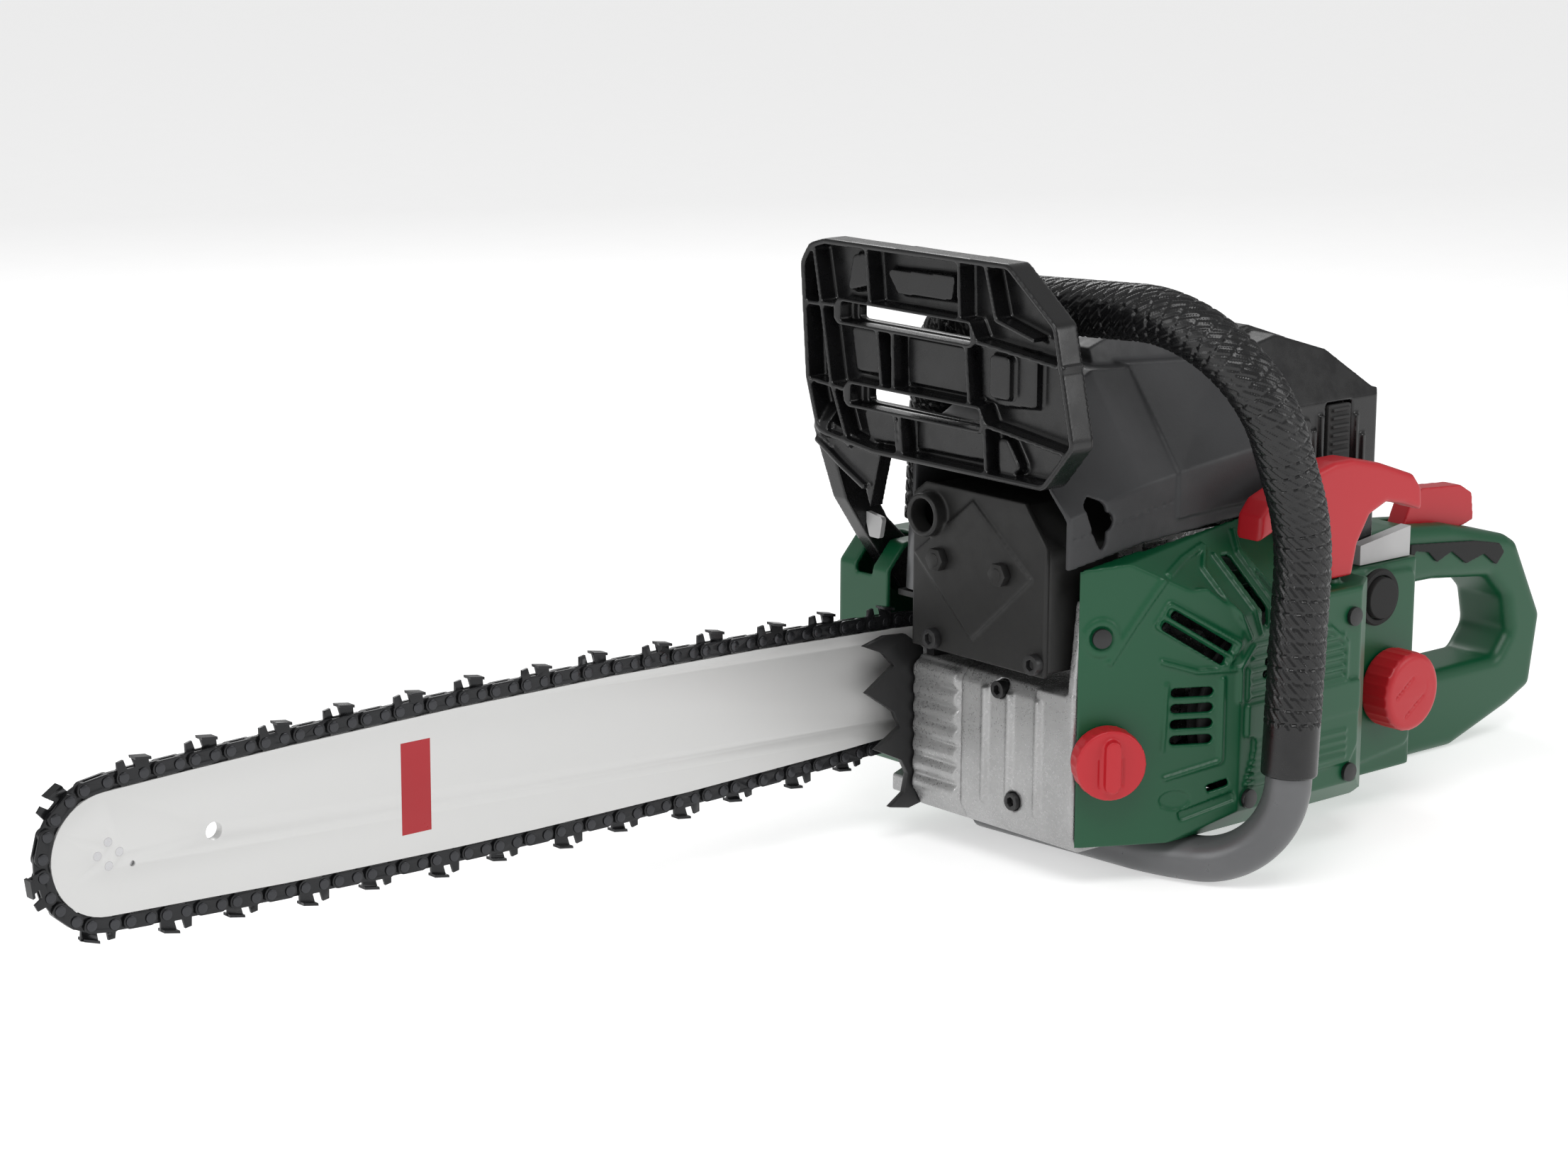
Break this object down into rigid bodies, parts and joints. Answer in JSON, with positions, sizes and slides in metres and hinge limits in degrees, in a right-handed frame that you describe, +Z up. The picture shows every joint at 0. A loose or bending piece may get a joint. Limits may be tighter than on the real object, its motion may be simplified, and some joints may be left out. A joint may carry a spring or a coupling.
{
  "type": "chainsaw",
  "caption": "Petrol chainsaw with a guide bar and saw chain, wrap-round front handle, hand guard and rear handle loop.",
  "frame": {"origin": "on the ground straight below the crankshaft, in the middle plane of the cylinder", "axes": "+X from the guide bar's nose towards the rear handle, +Y towards the clutch side, +Z up"},
  "size_m": [0.8482, 0.2418, 0.2835],
  "materials": {
    "bar_paint": "satin",
    "chain_steel": "satin",
    "bright_steel": "satin",
    "cast_silver": "satin cast",
    "handle_tube": "satin",
    "black_metal": "satin",
    "black_plastic": "fine texture",
    "dark_cover": "fine texture",
    "green_plastic": "satin",
    "red_plastic": "satin",
    "black_rubber": "matt",
    "rope_fibre": "braided",
    "filter_felt": "felt"
  },
  "bodies": {
    "root": {"air_filter": "filter_felt", "av_buffers": "black_rubber", "bar_nuts": "bright_steel", "bar_studs": "bright_steel", "brake_band": "bright_steel", "carburettor": "cast_silver", "chain_catcher": "black_metal", "chain_drive_links": "chain_steel", "chain_left_cutters": "chain_steel", "chain_right_cutters": "chain_steel", "chain_rivets": "chain_steel", "chain_tie_straps": "chain_steel", "clutch_cover": "green_plastic", "clutch_drum": "bright_steel", "connecting_rod": "bright_steel", "crank_and_piston_pins": "bright_steel", "crankcase_left": "cast_silver", "crankcase_right": "cast_silver", "cylinder": "cast_silver", "cylinder_cover": "dark_cover", "filter_cover": "black_plastic", "front_grip": "black_rubber", "front_handle": "handle_tube", "guide_bar": "bar_paint", "handle_brackets": "black_metal", "handle_inlays": "black_rubber", "ignition_coil": "black_plastic", "intake_boot": "black_rubber", "main_bearings": "bright_steel", "muffler_body": "black_metal", "muffler_bolts": "black_metal", "muffler_front": "black_metal", "nose_rivets": "bright_steel", "nose_sprocket": "bright_steel", "oil_pump": "cast_silver", "piston": "cast_silver", "pivot_pins": "bright_steel", "plug_boot": "black_rubber", "recoil_spring": "bright_steel", "socket_screws": "black_metal", "spark_plug": "bright_steel", "spiked_bumper": "black_metal", "starter_cover": "green_plastic", "tank_housing": "green_plastic"},
    "crank": {"crankshaft": "bright_steel", "flywheel": "cast_silver", "clutch_hub": "bright_steel", "clutch_shoes": "bright_steel"},
    "guard": {"hand_guard": "black_plastic"},
    "trigger": {"throttle_trigger": "red_plastic"},
    "lockout": {"throttle_lockout": "red_plastic"},
    "choke": {"choke_knob": "black_plastic"},
    "switch": {"stop_switch": "black_plastic"},
    "primer": {"primer_bulb": "black_rubber"},
    "fuel_filler_cap": {"fuel_cap": "red_plastic"},
    "oil_filler_cap": {"oil_cap": "red_plastic"},
    "latch": {"filter_latch": "black_plastic"},
    "pull_handle": {"starter_handle": "red_plastic", "starter_rope": "rope_fibre"},
    "rope_pulley": {"starter_pulley": "black_plastic"}
  },
  "joints": [
    {"name": "crank_spin", "type": "hinge", "parent": "root", "child": "crank", "pos_m": [0, 0, 0.0745], "axis": [0, 1, 0], "continuous": true},
    {"name": "guard_swing", "type": "hinge", "parent": "root", "child": "guard", "pos_m": [-0.07, 0.076, 0.118], "axis": [0, -1, 0], "range_deg": [0, 15]},
    {"name": "trigger_pull", "type": "hinge", "parent": "root", "child": "trigger", "pos_m": [0.152, 0, 0.106], "axis": [0, -1, 0], "range_deg": [0, 12], "stiffness_Nm_per_rad": 0.8, "springref_deg": -2.86},
    {"name": "lockout_press", "type": "hinge", "parent": "root", "child": "lockout", "pos_m": [0.196, 0, 0.11], "axis": [0, 1, 0], "range_deg": [0, 8], "stiffness_Nm_per_rad": 0.8, "springref_deg": -2.86},
    {"name": "choke_pull", "type": "slide", "parent": "root", "child": "choke", "axis": [1, 0, 0], "range_m": [0, 0.012]},
    {"name": "switch_rock", "type": "hinge", "parent": "root", "child": "switch", "pos_m": [0.117, 0.016, 0.117], "axis": [0, 1, 0], "range_deg": [-6, 6]},
    {"name": "primer_press", "type": "slide", "parent": "root", "child": "primer", "axis": [0, 1, 0], "range_m": [0, 0.0025], "stiffness_N_per_m": 400},
    {"name": "fuel_cap_turn", "type": "hinge", "parent": "root", "child": "fuel_filler_cap", "pos_m": [0.109, -0.075, 0.0615], "axis": [0, -1, 0], "range_deg": [0, 270]},
    {"name": "oil_cap_turn", "type": "hinge", "parent": "root", "child": "oil_filler_cap", "pos_m": [-0.085, -0.0695, 0.061], "axis": [-0.5, -0.866, 0], "range_deg": [0, 270]},
    {"name": "latch_swing", "type": "hinge", "parent": "root", "child": "latch", "pos_m": [0.081, -0.0552, 0.1715], "axis": [1, 0, 0], "range_deg": [0, 60]},
    {"name": "starter_pull", "type": "slide", "parent": "root", "child": "pull_handle", "axis": [0, 0, 1], "range_m": [0, 0.75], "stiffness_N_per_m": 12, "deforming": ["starter_rope"]},
    {"name": "pulley_spin", "type": "hinge", "parent": "root", "child": "rope_pulley", "pos_m": [0, -0.086, 0.0745], "axis": [0, -1, 0], "range_deg": [0, 1002]}
  ],
  "couplings": [
    {"joint": "pulley_spin", "follows": "starter_pull", "rad_per_m": 23.256}
  ]
}
